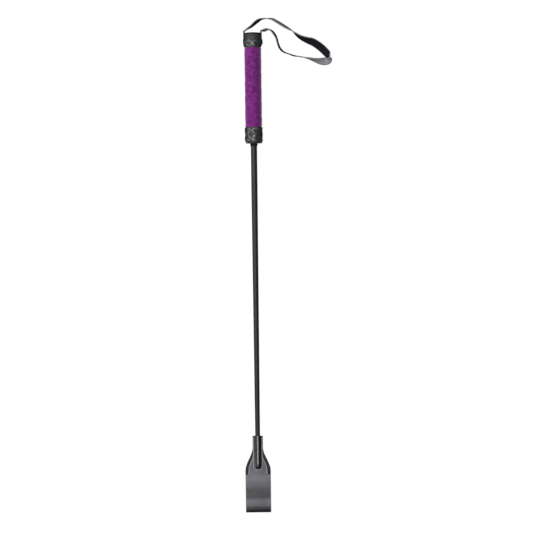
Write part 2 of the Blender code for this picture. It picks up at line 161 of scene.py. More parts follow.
def shell(name: str, points: np.ndarray, uv: np.ndarray, along: bool = False) -> bpy.types.Object:
    """A mesh from grids of points, with its faces turned outwards.

    Each quad joins four neighbours of a grid. A grid closes on itself round its columns and, where
    wanted, along its rows; open end rows are closed by a fan round their middle.

    Args:
        name: The object's name.
        points: Copies x rows x columns x 3, or one grid of rows x columns x 3, in metres.
        uv: Each grid's pattern coordinates, with one more column or row where it closes.
        along: Whether the last row meets the first.

    Returns:
        The new object, at the origin.
    """
    grids = points[None] if points.ndim == 3 else points
    copies, rows, columns = grids.shape[:3]
    index = np.arange(rows * columns).reshape(rows, columns)
    index = np.concatenate([index, index[:, :1]], axis=1)
    index = np.concatenate([index, index[:1]], axis=0) if along else index
    pattern = np.arange(uv.shape[0] * uv.shape[1]).reshape(uv.shape[:2])
    copy = np.arange(copies)[:, None]
    step = copy * rows * columns
    quads = (corners(index)[None] + step[..., None]).reshape(-1, 4)
    quad_uv = np.tile(corners(pattern), (copies, 1))
    vertices = grids.reshape(-1, 3)
    triangles = triangle_uv = np.zeros((0, 3), int)
    for row, turn in () if along else ((0, 1), (rows - 1, -1)):
        ring, ring_uv = index[row, ::turn] + step, pattern[row, ::turn]
        middle = np.broadcast_to(len(vertices) + copy, (copies, columns))
        fan = np.stack([middle, ring[:, 1:], ring[:, :-1]], axis=-1).reshape(-1, 3)
        fan_uv = np.stack([ring_uv[:-1], ring_uv[1:], ring_uv[:-1]], axis=-1)
        vertices = np.concatenate([vertices, grids[:, row].mean(axis=1)])
        triangles = np.concatenate([triangles, fan])
        triangle_uv = np.concatenate([triangle_uv, np.tile(fan_uv, (copies, 1))])
    halves = np.concatenate([quads[:, [0, 1, 2]], quads[:, [0, 2, 3]], triangles])
    a, b, c = (vertices[halves[:, i]] - vertices.mean(axis=0) for i in range(3))
    if np.einsum("ij,ij->i", a, np.cross(b, c)).sum() < 0.0:
        quads, quad_uv, triangles, triangle_uv = (
            faces[:, ::-1] for faces in (quads, quad_uv, triangles, triangle_uv))
    mesh = bpy.data.meshes.new(name)
    mesh.from_pydata(vertices.tolist(), [], quads.tolist() + triangles.tolist())
    layer = mesh.uv_layers.new(name="UVMap")
    order = np.concatenate([quad_uv.ravel(), triangle_uv.ravel()])
    layer.data.foreach_set("uv", uv.reshape(-1, 2)[order].astype(np.float32).ravel())
    mesh.shade_smooth()
    mesh.set_sharp_from_angle(angle=SHARP_ANGLE)
    return put(name, mesh)


def ring_angles(count: int) -> np.ndarray:
    """Angles of evenly spaced points once round."""
    return np.arange(count) / count * TURN


def run_length(points: np.ndarray) -> np.ndarray:
    """Distance passed at each of a line's points."""
    return np.concatenate([[0.0], np.cumsum(np.linalg.norm(np.diff(points, axis=0), axis=1))])


def uv_grid(first: np.ndarray, second: np.ndarray) -> np.ndarray:
    """Pattern coordinates from a row of one number per column and a column of one per row."""
    return np.stack(np.broadcast_arrays(first[None, :], second[:, None]), axis=-1)


def catmull_rom(points: np.ndarray, steps: int) -> np.ndarray:
    """A Catmull-Rom curve: between two points, the cubic whose slopes there are half the chord of
    their neighbours.

    Args:
        points: The points the curve passes, one per row.
        steps: Rows made for each span.

    Returns:
        The curve's rows.
    """
    padded = np.concatenate([points[:1], points, points[-1:]])
    before, start, end, after = (padded[i:len(padded) - 3 + i, None] for i in range(4))
    t = (np.arange(steps) / steps)[None, :, None]
    rows = 0.5 * (2 * start + (end - before) * t
                  + (2 * before - 5 * start + 4 * end - after) * t ** 2
                  + (3 * start - before - 3 * end + after) * t ** 3)
    return np.concatenate([rows.reshape(-1, points.shape[1]), points[-1:]])


def band_section(width: float, thickness: float, crown: float = 0.0,
                 face_points: int = 9) -> tuple[np.ndarray, ...]:
    """Cross-section of a flat band with round edges, starting at its left edge.

    The upper half runs over the left edge's quarter circle, the face and the right edge's quarter
    circle; the lower half is the same turned by half a turn. The crown lifts the middle by a
    parabola.

    Args:
        width: The band's full width.
        thickness: Its thickness.
        crown: How far its middle stands proud.
        face_points: Points along each face.

    Returns:
        Across, outwards, and the pattern number: 0 to 1 on the outer face, 1 to 2 on the inner.
    """
    half, radius = width / 2, thickness / 2
    flat = half - radius
    angle = np.linspace(0.0, math.pi / 2, ARC_POINTS + 1)
    across = np.concatenate([-flat - radius * np.cos(angle[:-1]), np.linspace(-flat, flat, face_points),
                             flat + radius * np.sin(angle[1:-1])])
    out = np.concatenate([radius * np.sin(angle[:-1]), np.full(face_points, radius),
                          radius * np.cos(angle[1:-1])])
    number = (across + half) / width
    across, out = np.concatenate([across, -across]), np.concatenate([out, -out])
    out = out + crown * (1.0 - (across / half) ** 2)
    return across, out, np.concatenate([number, number + 1.0, [2.0]])


def sweep(path: np.ndarray, wide: np.ndarray, outward: np.ndarray, across: np.ndarray,
          out: np.ndarray, bend: np.ndarray | float = 0.0) -> np.ndarray:
    """A section carried along a path: each point is the path plus across along the width's
    direction plus out along the outward one; a bent section lies on a circle of radius 1 / bend.

    Args:
        path: Rows of points.
        wide: The width's direction at each row.
        outward: The outer face's direction at each row.
        across: The section's coordinates along the width.
        out: The section's coordinates outwards, one row for all or one for each row.
        bend: Curvature of the section at each row.

    Returns:
        Rows x columns x 3.
    """
    curvature = np.maximum(np.broadcast_to(bend, len(path)), 1e-6)[:, None]
    radius = 1.0 / curvature + out
    sideways = radius * np.sin(across * curvature)
    lift = radius * np.cos(across * curvature) - 1.0 / curvature
    return path[:, None] + sideways[..., None] * wide[:, None] + lift[..., None] * outward[:, None]


# ---------------------------------------------------------------- the crop's axis


@dataclass(frozen=True)
class Span:
    """Where a turned CAD node lies: its stations and its radius, in millimetres."""

    start: float
    end: float
    radius: float

    @property
    def length(self) -> float:
        """Distance from the start to the end."""
        return self.end - self.start

    @property
    def middle(self) -> float:
        """Station half way along."""
        return (self.start + self.end) / 2


def named(rows: list[dict], name: str) -> dict:
    """The row of a record's list that has a name."""
    return next(row for row in rows if row["name"] == name)


@dataclass(frozen=True)
class CropAxis:
    """The crop's own axis, read from the mount on its butt."""

    origin: np.ndarray
    towards_tip: np.ndarray

    @classmethod
    def from_record(cls, record: dict) -> "CropAxis":
        """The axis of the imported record's butt face."""
        mount = named(record["mounts"], "butt_face")
        return cls(np.array(mount["pos_m"]), -unit(np.array(mount["axis"])))

    @property
    def height(self) -> np.ndarray:
        """Direction square to the axis, upwards."""
        return np.cross(RIGHT, -self.towards_tip)

    def place(self, across: np.ndarray, height: np.ndarray, station: np.ndarray) -> np.ndarray:
        """World points of local ones: the origin plus each local length along its direction.

        Args:
            across: Lengths to the right, in millimetres.
            height: Lengths up from the axis.
            station: Lengths along the axis from the butt's face.

        Returns:
            Points in metres: the arrays' common shape x 3.
        """
        across, height, station = np.broadcast_arrays(across, height, station)
        local = (across[..., None] * RIGHT + height[..., None] * self.height
                 + station[..., None] * self.towards_tip)
        return self.origin + local * MM

    def turn(self, radius: np.ndarray, angle: np.ndarray, station: np.ndarray) -> np.ndarray:
        """World points at a radius and an angle, 0 on the right and a quarter turn on top."""
        return self.place(radius * np.cos(angle), radius * np.sin(angle), station)

    def span(self, node: str) -> Span:
        """Stations and radius of a turned node, less what the axis's tilt adds to its box.

        Args:
            node: The CAD node's name.

        Returns:
            Where the node lies.
        """
        low, high = (np.array(corner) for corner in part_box(node))
        radius = (high[0] - low[0]) / 2
        fall, run = -self.towards_tip[2], -self.towards_tip[1]
        start = (self.origin[1] + radius * fall - high[1]) / run
        end = (self.origin[1] - radius * fall - low[1]) / run
        return Span(start / MM, end / MM, radius / MM)


AXIS = CropAxis.from_record(frame["record"])


def tube(name: str, radius: np.ndarray, bore: np.ndarray | float, station: np.ndarray,
         uv: np.ndarray) -> bpy.types.Object:
    """A thin tube round the axis: its outer rows, then its bore's last and first row.

    Args:
        name: The object's name.
        radius: The outer radius at each station and angle.
        bore: The bore's radius, one or the last and the first row's.
        station: The rows' stations.
        uv: Pattern coordinates for all rows.

    Returns:
        The new object.
    """
    angle = ring_angles(radius.shape[1])
    outer = AXIS.turn(radius, angle, station[:, None])
    inner = AXIS.turn(np.broadcast_to(bore, (2, 1)), angle, station[[-1, 0], None])
    return shell(name, np.concatenate([outer, inner]), uv, along=True)


# ---------------------------------------------------------------- shader graphs


class Graph:
    """A node tree with short ways to add and link nodes."""

    def __init__(self, tree: bpy.types.NodeTree) -> None:
        """Wrap a node tree."""
        self.tree = tree

    def add(self, kind: str, inputs: dict | None = None, **settings: object) -> bpy.types.Node:
        """Add a node.

        Args:
            kind: The node's type, without its ShaderNode prefix.
            inputs: Sockets by name or number, each given a socket to link or a value.
            **settings: The node's own settings.

        Returns:
            The new node.
        """
        node = self.tree.nodes.new("ShaderNode" + kind)
        for key, value in settings.items():
            setattr(node, key, value)
        self.fill(node, inputs or {})
        return node

    def fill(self, node: bpy.types.Node, inputs: dict) -> None:
        """Give each named or numbered socket its link or value.

        Args:
            node: The node whose inputs are set.
            inputs: Sockets by name or number, with links or values.
        """
        for key, value in inputs.items():
            if isinstance(value, bpy.types.NodeSocket):
                self.tree.links.new(value, node.inputs[key])
            else:
                node.inputs[key].default_value = value

    def math(self, operation: str, first: object, second: object = 0.0) -> bpy.types.NodeSocket:
        """The result of a Math node."""
        return self.add("Math", {0: first, 1: second}, operation=operation).outputs[0]

    def sum(self, first: object, second: object) -> bpy.types.NodeSocket:
        """Two numbers added."""
        return self.math("ADD", first, second)

    def scale(self, value: object, gain: object) -> bpy.types.NodeSocket:
        """A number times a gain."""
        return self.math("MULTIPLY", value, gain)

    def flip(self, value: object) -> bpy.types.NodeSocket:
        """One less a number."""
        return self.math("SUBTRACT", 1.0, value)

    def ramp(self, value: object, low: float, high: float) -> bpy.types.NodeSocket:
        """0 below low, 1 above high, and a smooth step between them."""
        node = self.add("MapRange", {"Value": value, "From Min": low, "From Max": high},
                        interpolation_type="SMOOTHSTEP")
        return node.outputs["Result"]

    def blend(self, amount: object, first: object, second: object,
              kind: str = "MIX") -> bpy.types.NodeSocket:
        """A colour between two others, or blended in another way."""
        return self.add("Mix", {0: amount, 6: first, 7: second}, data_type="RGBA",
                        blend_type=kind).outputs[2]

    def noise(self, vector: object, scale: object, detail: float,
              more: dict | None = None) -> bpy.types.NodeSocket:
        """The value of a Noise texture."""
        inputs = {"Vector": vector, "Scale": scale, "Detail": detail}
        return self.add("TexNoise", inputs | (more or {})).outputs[0]

    def bump(self, strength: float, height_mm: float, height: object) -> bpy.types.NodeSocket:
        """A normal from a height pattern whose full step is given in millimetres."""
        return self.add("Bump", {"Strength": strength, "Distance": height_mm * MM,
                                 "Height": height}).outputs[0]

    def where(self, follows: Coordinates) -> bpy.types.NodeSocket:
        """The coordinates that a pattern follows."""
        return self.add("TexCoord").outputs[follows.value]

    def parts(self, follows: Coordinates) -> bpy.types.bpy_prop_collection:
        """The same coordinates' separate numbers."""
        return self.add("SeparateXYZ", {0: self.where(follows)}).outputs


def new_group(name: str, inputs: dict[str, float | None],
              work: Callable[[Graph, bpy.types.bpy_prop_collection], dict]) -> bpy.types.NodeTree:
    """A shader node group with named sockets.

    Args:
        name: The group's name.
        inputs: Socket names with their default numbers, or None for a vector.
        work: Adds the nodes, from the graph and the group's own sockets, and returns the sockets
            that the group gives, by name.

    Returns:
        The group's tree.
    """
    tree = bpy.data.node_groups.new(name, "ShaderNodeTree")
    for socket, default in inputs.items():
        kind = "NodeSocketVector" if default is None else "NodeSocketFloat"
        made = tree.interface.new_socket(socket, in_out="INPUT", socket_type=kind)
        if default is not None:
            made.default_value = default
    graph = Graph(tree)
    results = work(graph, tree.nodes.new("NodeGroupInput").outputs)
    for socket in results:
        tree.interface.new_socket(socket, in_out="OUTPUT", socket_type="NodeSocketFloat")
    graph.fill(tree.nodes.new("NodeGroupOutput"), results)
    return tree


class Effects:
    """Node groups that more than one finish uses, each built once."""

    def __init__(self) -> None:
        """Build the groups."""
        self.grain = new_group(
            "leather_grain", {"Vector": None, "Cell Scale": 900.0, "Pore Share": 0.35}, self._grain)
        self.drift = new_group("uneven_tone", {"Vector": None, "Scale": 60.0}, self._drift)
        self.nap = new_group("brushed_nap", {"Vector": None, "Tuft Scale": 300.0}, self._nap)
        self.edge = new_group("band_edge", {"Number": 0.5, "Width": 0.08}, self._edge)
        self.twist = new_group(
            "laid_yarn", {"Across": 0.0, "Along": 0.0, "Slant": 2.0, "Pitch": 900.0}, self._twist)

    @staticmethod
    def _grain(graph: Graph, given: bpy.types.bpy_prop_collection) -> dict:
        """Leather grain: cells with creases between them, over finer pores, and a mask for painted shade
        in the creases.

        Args:
            graph: The group's graph.
            given: The group's own sockets.

        Returns:
            The sockets that the group gives, by name.
        """
        crease_width, finer = 0.22, 2.6
        cells = graph.add("TexVoronoi", {"Vector": given["Vector"], "Scale": given["Cell Scale"]},
                          feature="DISTANCE_TO_EDGE")
        crease = graph.ramp(cells.outputs["Distance"], 0.0, crease_width)
        pores = graph.noise(given["Vector"], graph.scale(given["Cell Scale"], finer), 3.0)
        fine = graph.scale(pores, given["Pore Share"])
        return {"Height": graph.sum(crease, fine), "Crease Shade": graph.flip(crease)}

    @staticmethod
    def _drift(graph: Graph, given: bpy.types.bpy_prop_collection) -> dict:
        """Slow unevenness of a colour or a gloss, stretched to the full range.

        Args:
            graph: The group's graph.
            given: The group's own sockets.

        Returns:
            The sockets that the group gives, by name.
        """
        noise = graph.noise(given["Vector"], given["Scale"], 4.0, {"Roughness": 0.6})
        return {"Amount": graph.ramp(noise, 0.3, 0.7)}

    @staticmethod
    def _nap(graph: Graph, given: bpy.types.bpy_prop_collection) -> dict:
        """Brushed nap: soft tufts that lean together in patches, and single fibres.

        Args:
            graph: The group's graph.
            given: The group's own sockets.

        Returns:
            The sockets that the group gives, by name.
        """
        finer, patch_share = 7.0, 0.6
        patch = graph.noise(given["Vector"], given["Tuft Scale"], 3.0,
                            {"Roughness": 0.55, "Distortion": 0.6})
        fibre = graph.noise(given["Vector"], graph.scale(given["Tuft Scale"], finer), 2.0)
        lean = graph.ramp(patch, 0.32, 0.68)
        return {"Lean": lean, "Height": graph.sum(graph.scale(lean, patch_share), fibre)}

    @staticmethod
    def _edge(graph: Graph, given: bpy.types.bpy_prop_collection) -> dict:
        """Mask of a band's edges, from a pattern number that is whole at each edge.

        Args:
            graph: The group's graph.
            given: The group's own sockets.

        Returns:
            The sockets that the group gives, by name.
        """
        share = graph.math("FRACT", given["Number"])
        near = graph.math("MINIMUM", share, graph.flip(share))
        far = graph.math("DIVIDE", near, given["Width"])
        return {"Edge": graph.flip(graph.ramp(far, 0.6, 1.3)),
                "Inner": graph.math("GREATER_THAN", given["Number"], 1.0)}

    @staticmethod
    def _twist(graph: Graph, given: bpy.types.bpy_prop_collection) -> dict:
        """Laid yarn: slanted ridges along a thread, from its across and along coordinates.

        Args:
            graph: The group's graph.
            given: The group's own sockets.

        Returns:
            The sockets that the group gives, by name.
        """
        phase = graph.sum(graph.scale(given["Across"], given["Slant"]),
                          graph.scale(given["Along"], given["Pitch"]))
        wave = graph.math("SINE", graph.scale(phase, TURN))
        return {"Height": graph.math("MULTIPLY_ADD", wave, 0.5)}


EFFECTS = Effects()


def start_material(name: str) -> tuple[bpy.types.Material, Graph, bpy.types.Node]:
    """A new material with its graph and its Principled shader.

    Args:
        name: The material's name.

    Returns:
        The material, its graph and its shader.
    """
    material = bpy.data.materials.new(name)
    material.use_nodes = True
    return material, Graph(material.node_tree), material.node_tree.nodes["Principled BSDF"]


def rgba(colour: tuple[float, float, float], gain: float = 1.0) -> tuple[float, float, float, float]:
    """A linear colour with full alpha, brightened by a gain."""
    return (*(min(1.0, channel * gain) for channel in colour), 1.0)


def uneven(graph: Graph, where: object, scale: float) -> bpy.types.NodeSocket:
    """A finish's slow unevenness, from 0 to 1."""
    return graph.add("Group", {"Vector": where, "Scale": scale},
                     node_tree=EFFECTS.drift).outputs["Amount"]


@dataclass(frozen=True)
class Finish:
    """What a material looks like. Each kind of finish works out its own shader inputs."""

    name: str
    slot: Slot
    colour: tuple[float, float, float]
    roughness: float

    def make(self) -> bpy.types.Material:
        """Build the material.

        Returns:
            The finished material.
        """
        material, graph, shader = start_material(self.name)
        graph.fill(shader, self.inputs(graph))
        return material

    def inputs(self, graph: Graph) -> dict:
        """The Principled shader's inputs.

        Args:
            graph: The material's graph, to which the nodes are added.

        Returns:
            Sockets by name, with links or values.
        """
        raise NotImplementedError


@dataclass(frozen=True)
class Leather(Finish):
    """Grained leather, with painted shade in its creases, uneven tone and, on a band, painted edges.

    Light and shade bands hold stations along the piece, in millimetres, with the colour's gain at each: a
    gain over 1 paints a highlight, one under 1 paints shade.
    """

    follows: Coordinates = Coordinates.OBJECT
    grain_scale: float = 900.0
    grain_height: float = 0.06
    crease_shade_share: float = 0.55
    crease_shade_gain: float = 0.45
    tone: float = 0.3
    tone_scale: float = 90.0
    gloss_range: float = 0.12
    specular: float = 0.5
    inner: tuple[float, float, float] | None = None
    inner_roughness: float = 0.85
    edge: tuple[float, float, float] | None = None
    edge_width: float = 0.08
    edge_roughness: float = 0.2
    light_and_shade_bands: tuple[tuple[float, float], ...] = ()
    highlight_edge: float = 0.0
    ridge_end: float = 0.0

    def inputs(self, graph: Graph) -> dict:
        """The shader's inputs.

        Args:
            graph: The material's graph, to which the nodes are added.

        Returns:
            Sockets by name, with links or values.
        """
        where = graph.where(self.follows)
        grain = graph.add("Group", {"Vector": where, "Cell Scale": self.grain_scale},
                          node_tree=EFFECTS.grain).outputs
        drift = uneven(graph, where, self.tone_scale)
        colour = graph.blend(drift, rgba(self.colour, 1.0 - self.tone),
                             rgba(self.colour, 1.0 + self.tone))
        # Painted shade in the grain's creases.
        colour = graph.blend(graph.scale(grain["Crease Shade"], self.crease_shade_share), colour,
                             rgba(self.colour, self.crease_shade_gain))
        rough = graph.sum(graph.scale(drift, self.gloss_range),
                          self.roughness - self.gloss_range / 2)
        if self.edge is not None:
            colour, rough = self._band(graph, colour, rough)
        # Bands of painted highlight and painted shade along the piece.
        if self.light_and_shade_bands:
            colour = self._paint_light_and_shade(graph, colour)
        # A painted highlight line inside the side edges.
        if self.highlight_edge:
            colour = self._paint_edge_highlight(graph, colour)
        # Painted shadow and painted highlight on the popper's ridge.
        if self.ridge_end:
            colour = self._paint_ridge_light(graph, colour)
        return {"Base Color": colour, "Roughness": rough,
                "Normal": graph.bump(0.5, self.grain_height, grain["Height"]),
                "Specular IOR Level": self.specular}

    def _band(self, graph: Graph, colour: object, rough: object) -> tuple:
        """Paint a band's edges and, where it has its own look, its inner face.

        Args:
            graph: The material's graph.
            colour: The colour so far.
            rough: The roughness so far.

        Returns:
            The changed colour and roughness.
        """
        band = graph.add("Group", {"Number": graph.parts(Coordinates.UV)[0],
                                   "Width": self.edge_width}, node_tree=EFFECTS.edge).outputs
        if self.inner is not None:
            colour = graph.blend(band["Inner"], colour, rgba(self.inner))
            rough = graph.sum(rough, graph.scale(band["Inner"], self.inner_roughness - self.roughness))
        colour = graph.blend(band["Edge"], colour, rgba(self.edge))
        return colour, graph.sum(rough, graph.scale(band["Edge"], self.edge_roughness))

    def _paint_light_and_shade(self, graph: Graph, colour: object) -> bpy.types.NodeSocket:
        """Paint highlights and shade in bands along the piece; gains are halved to fit the ramp's range.

        Args:
            graph: The material's graph.
            colour: The colour so far.

        Returns:
            The changed colour.
        """
        first, last = self.light_and_shade_bands[0][0], self.light_and_shade_bands[-1][0]
        share = graph.add("MapRange", {"Value": graph.parts(Coordinates.UV)[1],
                                       "From Min": first * MM, "From Max": last * MM})
        ramp = graph.add("ValToRGB", {0: share.outputs["Result"]})
        steps = ramp.color_ramp
        steps.interpolation = "EASE"
        for number, (along, gain) in enumerate(self.light_and_shade_bands):
            place = (along - first) / (last - first)
            stop = steps.elements[number] if number < 2 else steps.elements.new(place)
            stop.position = place
            stop.color = rgba((gain / 2,) * 3)
        return graph.blend(1.0, colour, graph.scale(ramp.outputs["Color"], 2.0), "MULTIPLY")

    def _paint_edge_highlight(self, graph: Graph, colour: object) -> bpy.types.NodeSocket:
        """Paint a highlight line inside each side edge, and leave the very edge dark.

        Args:
            graph: The material's graph.
            colour: The colour so far.

        Returns:
            The changed colour.
        """
        side = graph.math("ABSOLUTE", graph.parts(Coordinates.UV)[0])
        # Painted highlight of the lit bevel along each edge.
        pale = graph.ramp(side, (self.highlight_edge - 1.1) * MM, (self.highlight_edge - 0.5) * MM)
        colour = graph.blend(graph.scale(pale, 0.6), colour, rgba(self.colour, 3.2))
        dark = graph.ramp(side, (self.highlight_edge - 0.25) * MM, (self.highlight_edge - 0.1) * MM)
        return graph.blend(dark, colour, rgba(self.colour, 0.15))

    def _paint_ridge_light(self, graph: Graph, colour: object) -> bpy.types.NodeSocket:
        """Paint shadow on the ridge over the rod, and a highlight line along its top.

        Args:
            graph: The material's graph.
            colour: The colour so far.

        Returns:
            The changed colour.
        """
        place = graph.parts(Coordinates.OBJECT)[0]
        along = graph.parts(Coordinates.UV)[1]
        # Painted shadow over the ridge, from 2 mm left of its middle out to its right flank.
        shade = graph.scale(graph.ramp(place, -3.0 * MM, -2.0 * MM),
                            graph.flip(graph.ramp(place, 4.6 * MM, 5.6 * MM)))
        # Painted highlight line along the ridge's top.
        line = graph.flip(graph.ramp(graph.math("ABSOLUTE", place), 0.5 * MM, 1.3 * MM))
        for mask, reach, gain in ((shade, 1.0, 0.03), (line, -5.0, 3.4)):
            stop = self.ridge_end + reach
            before = graph.flip(graph.ramp(along, stop * MM, (stop + 3.0) * MM))
            colour = graph.blend(graph.scale(before, mask), colour, rgba(self.colour, gain))
        return colour


@dataclass(frozen=True)
class Suede(Finish):
    """Suede with a short nap that leans in patches, and paler worn wrap edges."""

    pale: tuple[float, float, float]
    deep: tuple[float, float, float]
    tuft_scale: float = 480.0
    patch_scale: float = 190.0
    patch_share: float = 0.35
    edge_share: float = 0.42
    sheen: float = 0.5
    sheen_tint: tuple[float, float, float, float] = (0.95, 0.6, 1.0, 1.0)

    def inputs(self, graph: Graph) -> dict:
        """The shader's inputs; the UV map's second number is 1 at a wrap's edge.

        Args:
            graph: The material's graph, to which the nodes are added.

        Returns:
            Sockets by name, with links or values.
        """
        where = graph.where(Coordinates.OBJECT)
        nap = graph.add("Group", {"Vector": where, "Tuft Scale": self.tuft_scale},
                        node_tree=EFFECTS.nap).outputs
        colour = graph.blend(nap["Lean"], rgba(self.deep), rgba(self.colour))
        patch = graph.scale(uneven(graph, where, self.patch_scale), self.patch_share)
        colour = graph.blend(patch, colour, rgba(self.pale))
        edge = graph.ramp(graph.parts(Coordinates.UV)[1], 0.3, 1.0)
        colour = graph.blend(graph.scale(edge, self.edge_share), colour, rgba(self.pale))
        return {"Base Color": colour, "Roughness": self.roughness,
                "Normal": graph.bump(0.6, 0.25, nap["Height"]), "Sheen Weight": self.sheen,
                "Sheen Roughness": 0.45, "Sheen Tint": self.sheen_tint, "Specular IOR Level": 0.15}


@dataclass(frozen=True)
class Yarn(Finish):
    """Waxed thread: laid yarn in slanted ridges, with an uneven tone."""

    slant: float = 2.0
    pitch: float = 900.0
    specular: float = 0.5

    def inputs(self, graph: Graph) -> dict:
        """The shader's inputs.

        Args:
            graph: The material's graph, to which the nodes are added.

        Returns:
            Sockets by name, with links or values.
        """
        drift = uneven(graph, graph.where(Coordinates.UV), 400.0)
        across, along, _ = graph.parts(Coordinates.UV)
        twist = graph.add("Group", {"Across": across, "Along": along, "Slant": self.slant,
                                    "Pitch": self.pitch}, node_tree=EFFECTS.twist).outputs["Height"]
        colour = graph.blend(graph.scale(drift, 0.6), rgba(self.colour, 0.7), rgba(self.colour, 1.6))
        return {"Base Color": colour, "Normal": graph.bump(0.5, 0.06, twist),
                "Roughness": graph.sum(graph.scale(drift, 0.15), self.roughness),
                "Specular IOR Level": self.specular}


@dataclass(frozen=True)
class Moulded(Finish):
    """A hard material for the pieces inside: plastic, glass fibre or drawn wire."""

    metallic: float = 0.0
    streak: float = 1.0

    def inputs(self, graph: Graph) -> dict:
        """The shader's inputs; the unevenness is stretched along the crop by the streak.

        Args:
            graph: The material's graph, to which the nodes are added.

        Returns:
            Sockets by name, with links or values.
        """
        stretched = graph.add("Mapping", {"Vector": graph.where(Coordinates.OBJECT),
                                          "Scale": (1.0, 1.0 / self.streak, 1.0)}).outputs[0]
        drift = uneven(graph, stretched, 700.0)
        colour = graph.blend(drift, rgba(self.colour, 0.75), rgba(self.colour, 1.15))
        return {"Base Color": colour, "Metallic": self.metallic,
                "Roughness": graph.sum(graph.scale(drift, 0.15), self.roughness),
                "Normal": graph.bump(0.3, 0.03, drift)}


CAP_LEATHER = Leather("cap_leather_finish", Slot.CAP, (0.03, 0.028, 0.03), 0.62, tone_scale=160.0,
                      specular=0.28)
DISC_LEATHER = Leather("butt_leather_finish", Slot.CAP, (0.009, 0.01, 0.01), 0.5, tone_scale=160.0,
                       specular=0.3)
LACE_LEATHER = Leather("lace_leather_finish", Slot.CAP, (0.02, 0.023, 0.025), 0.43,
                       grain_scale=1200.0, grain_height=0.03, tone_scale=220.0,
                       edge=(0.002, 0.002, 0.002), edge_width=0.13, specular=0.5)
# Strap: the outer face's grey is a painted reflection of the white studio on black leather, and its bands
# darken the ends at the cap and a stretch of the return with painted shade.
STRAP_LEATHER = Leather("strap_leather_finish", Slot.STRAP, (0.21, 0.212, 0.22), 0.42,
                        grain_scale=1300.0, grain_height=0.03, tone_scale=70.0,
                        inner=(0.0015, 0.0018, 0.003), edge=(0.2, 0.225, 0.25), edge_width=0.07,
                        specular=0.2, light_and_shade_bands=((0.0, 0.05), (14.0, 0.06), (20.0, 1.0), (205.0, 1.0),
                                               (212.0, 0.08), (240.0, 0.08), (250.0, 1.0),
                                               (276.0, 1.0), (281.0, 0.06), (295.0, 0.05)))
# Popper: its bands along the blade are painted highlight and painted shade, dark towards the fold's end.
POPPER_LEATHER = Leather("popper_leather_finish", Slot.POPPER, (0.052, 0.053, 0.062), 0.34,
                         follows=Coordinates.UV, grain_scale=1100.0, grain_height=0.04,
                         # The highlight edge places a painted highlight line; the ridge end bounds
                         # painted shadow and highlight on the ridge.
                         tone_scale=45.0, tone=0.12, highlight_edge=17.4, ridge_end=597.0,
                         light_and_shade_bands=((548.0, 0.45), (580.0, 0.7), (604.0, 1.35), (613.0, 1.85),
                                  (622.0, 1.2), (630.0, 0.4), (638.0, 0.48), (645.0, 1.8),
                                  (650.0, 1.4), (653.5, 0.2), (662.0, 0.08)), specular=0.4)
EDGE_LEATHER = Leather("popper_edge_finish", Slot.POPPER, (0.004, 0.004, 0.004), 0.6,
                       follows=Coordinates.UV, grain_height=0.05, specular=0.25)
SUEDE = Suede("purple_suede_finish", Slot.SUEDE, (0.115, 0.007, 0.12), 0.92, (0.25, 0.035, 0.25),
              (0.05, 0.003, 0.056))
BRAID = Yarn("braided_thread_finish", Slot.BRAID, (0.009, 0.009, 0.0095), 0.42, slant=3.0, pitch=1400.0,
             specular=0.25)
SEWING_THREAD = Yarn("sewing_thread_finish", Slot.THREAD, (0.38, 0.38, 0.39), 0.5)
WHIPPING_THREAD = Yarn("whipping_thread_finish", Slot.THREAD, (0.004, 0.004, 0.004), 0.6,
                       specular=0.2)
GLASS_FIBRE = Moulded("glass_fibre_finish", Slot.GLASS_FIBRE, (0.6, 0.58, 0.45), 0.35, streak=30.0)
PLASTIC = Moulded("black_plastic_finish", Slot.PLASTIC, (0.03, 0.03, 0.03), 0.45)
STEEL = Moulded("drawn_wire_finish", Slot.STEEL, (0.5, 0.5, 0.5), 0.3, metallic=1.0)


def dress(piece: bpy.types.Object, finish: Finish, body: Body | None,
          *nodes: str) -> bpy.types.Object:
    """Give a piece its finish, its body and the CAD nodes it stands for.

    Args:
        piece: The new piece.
        finish: Its finish.
        body: The body it rides on, or None to attach it to none.
        *nodes: The CAD nodes it replaces.

    Returns:
        The piece.
    """
    piece.data.materials.append(MATERIALS[finish.name])
    if body is not None:
        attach(piece, body.value)
    if nodes:
        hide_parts(*nodes)
    return piece


MATERIALS = {finish.name: finish.make() for finish in (
    CAP_LEATHER, DISC_LEATHER, LACE_LEATHER, STRAP_LEATHER, POPPER_LEATHER, EDGE_LEATHER, SUEDE, BRAID,
    SEWING_THREAD, WHIPPING_THREAD, GLASS_FIBRE, PLASTIC, STEEL)}


# ---------------------------------------------------------------- the studio


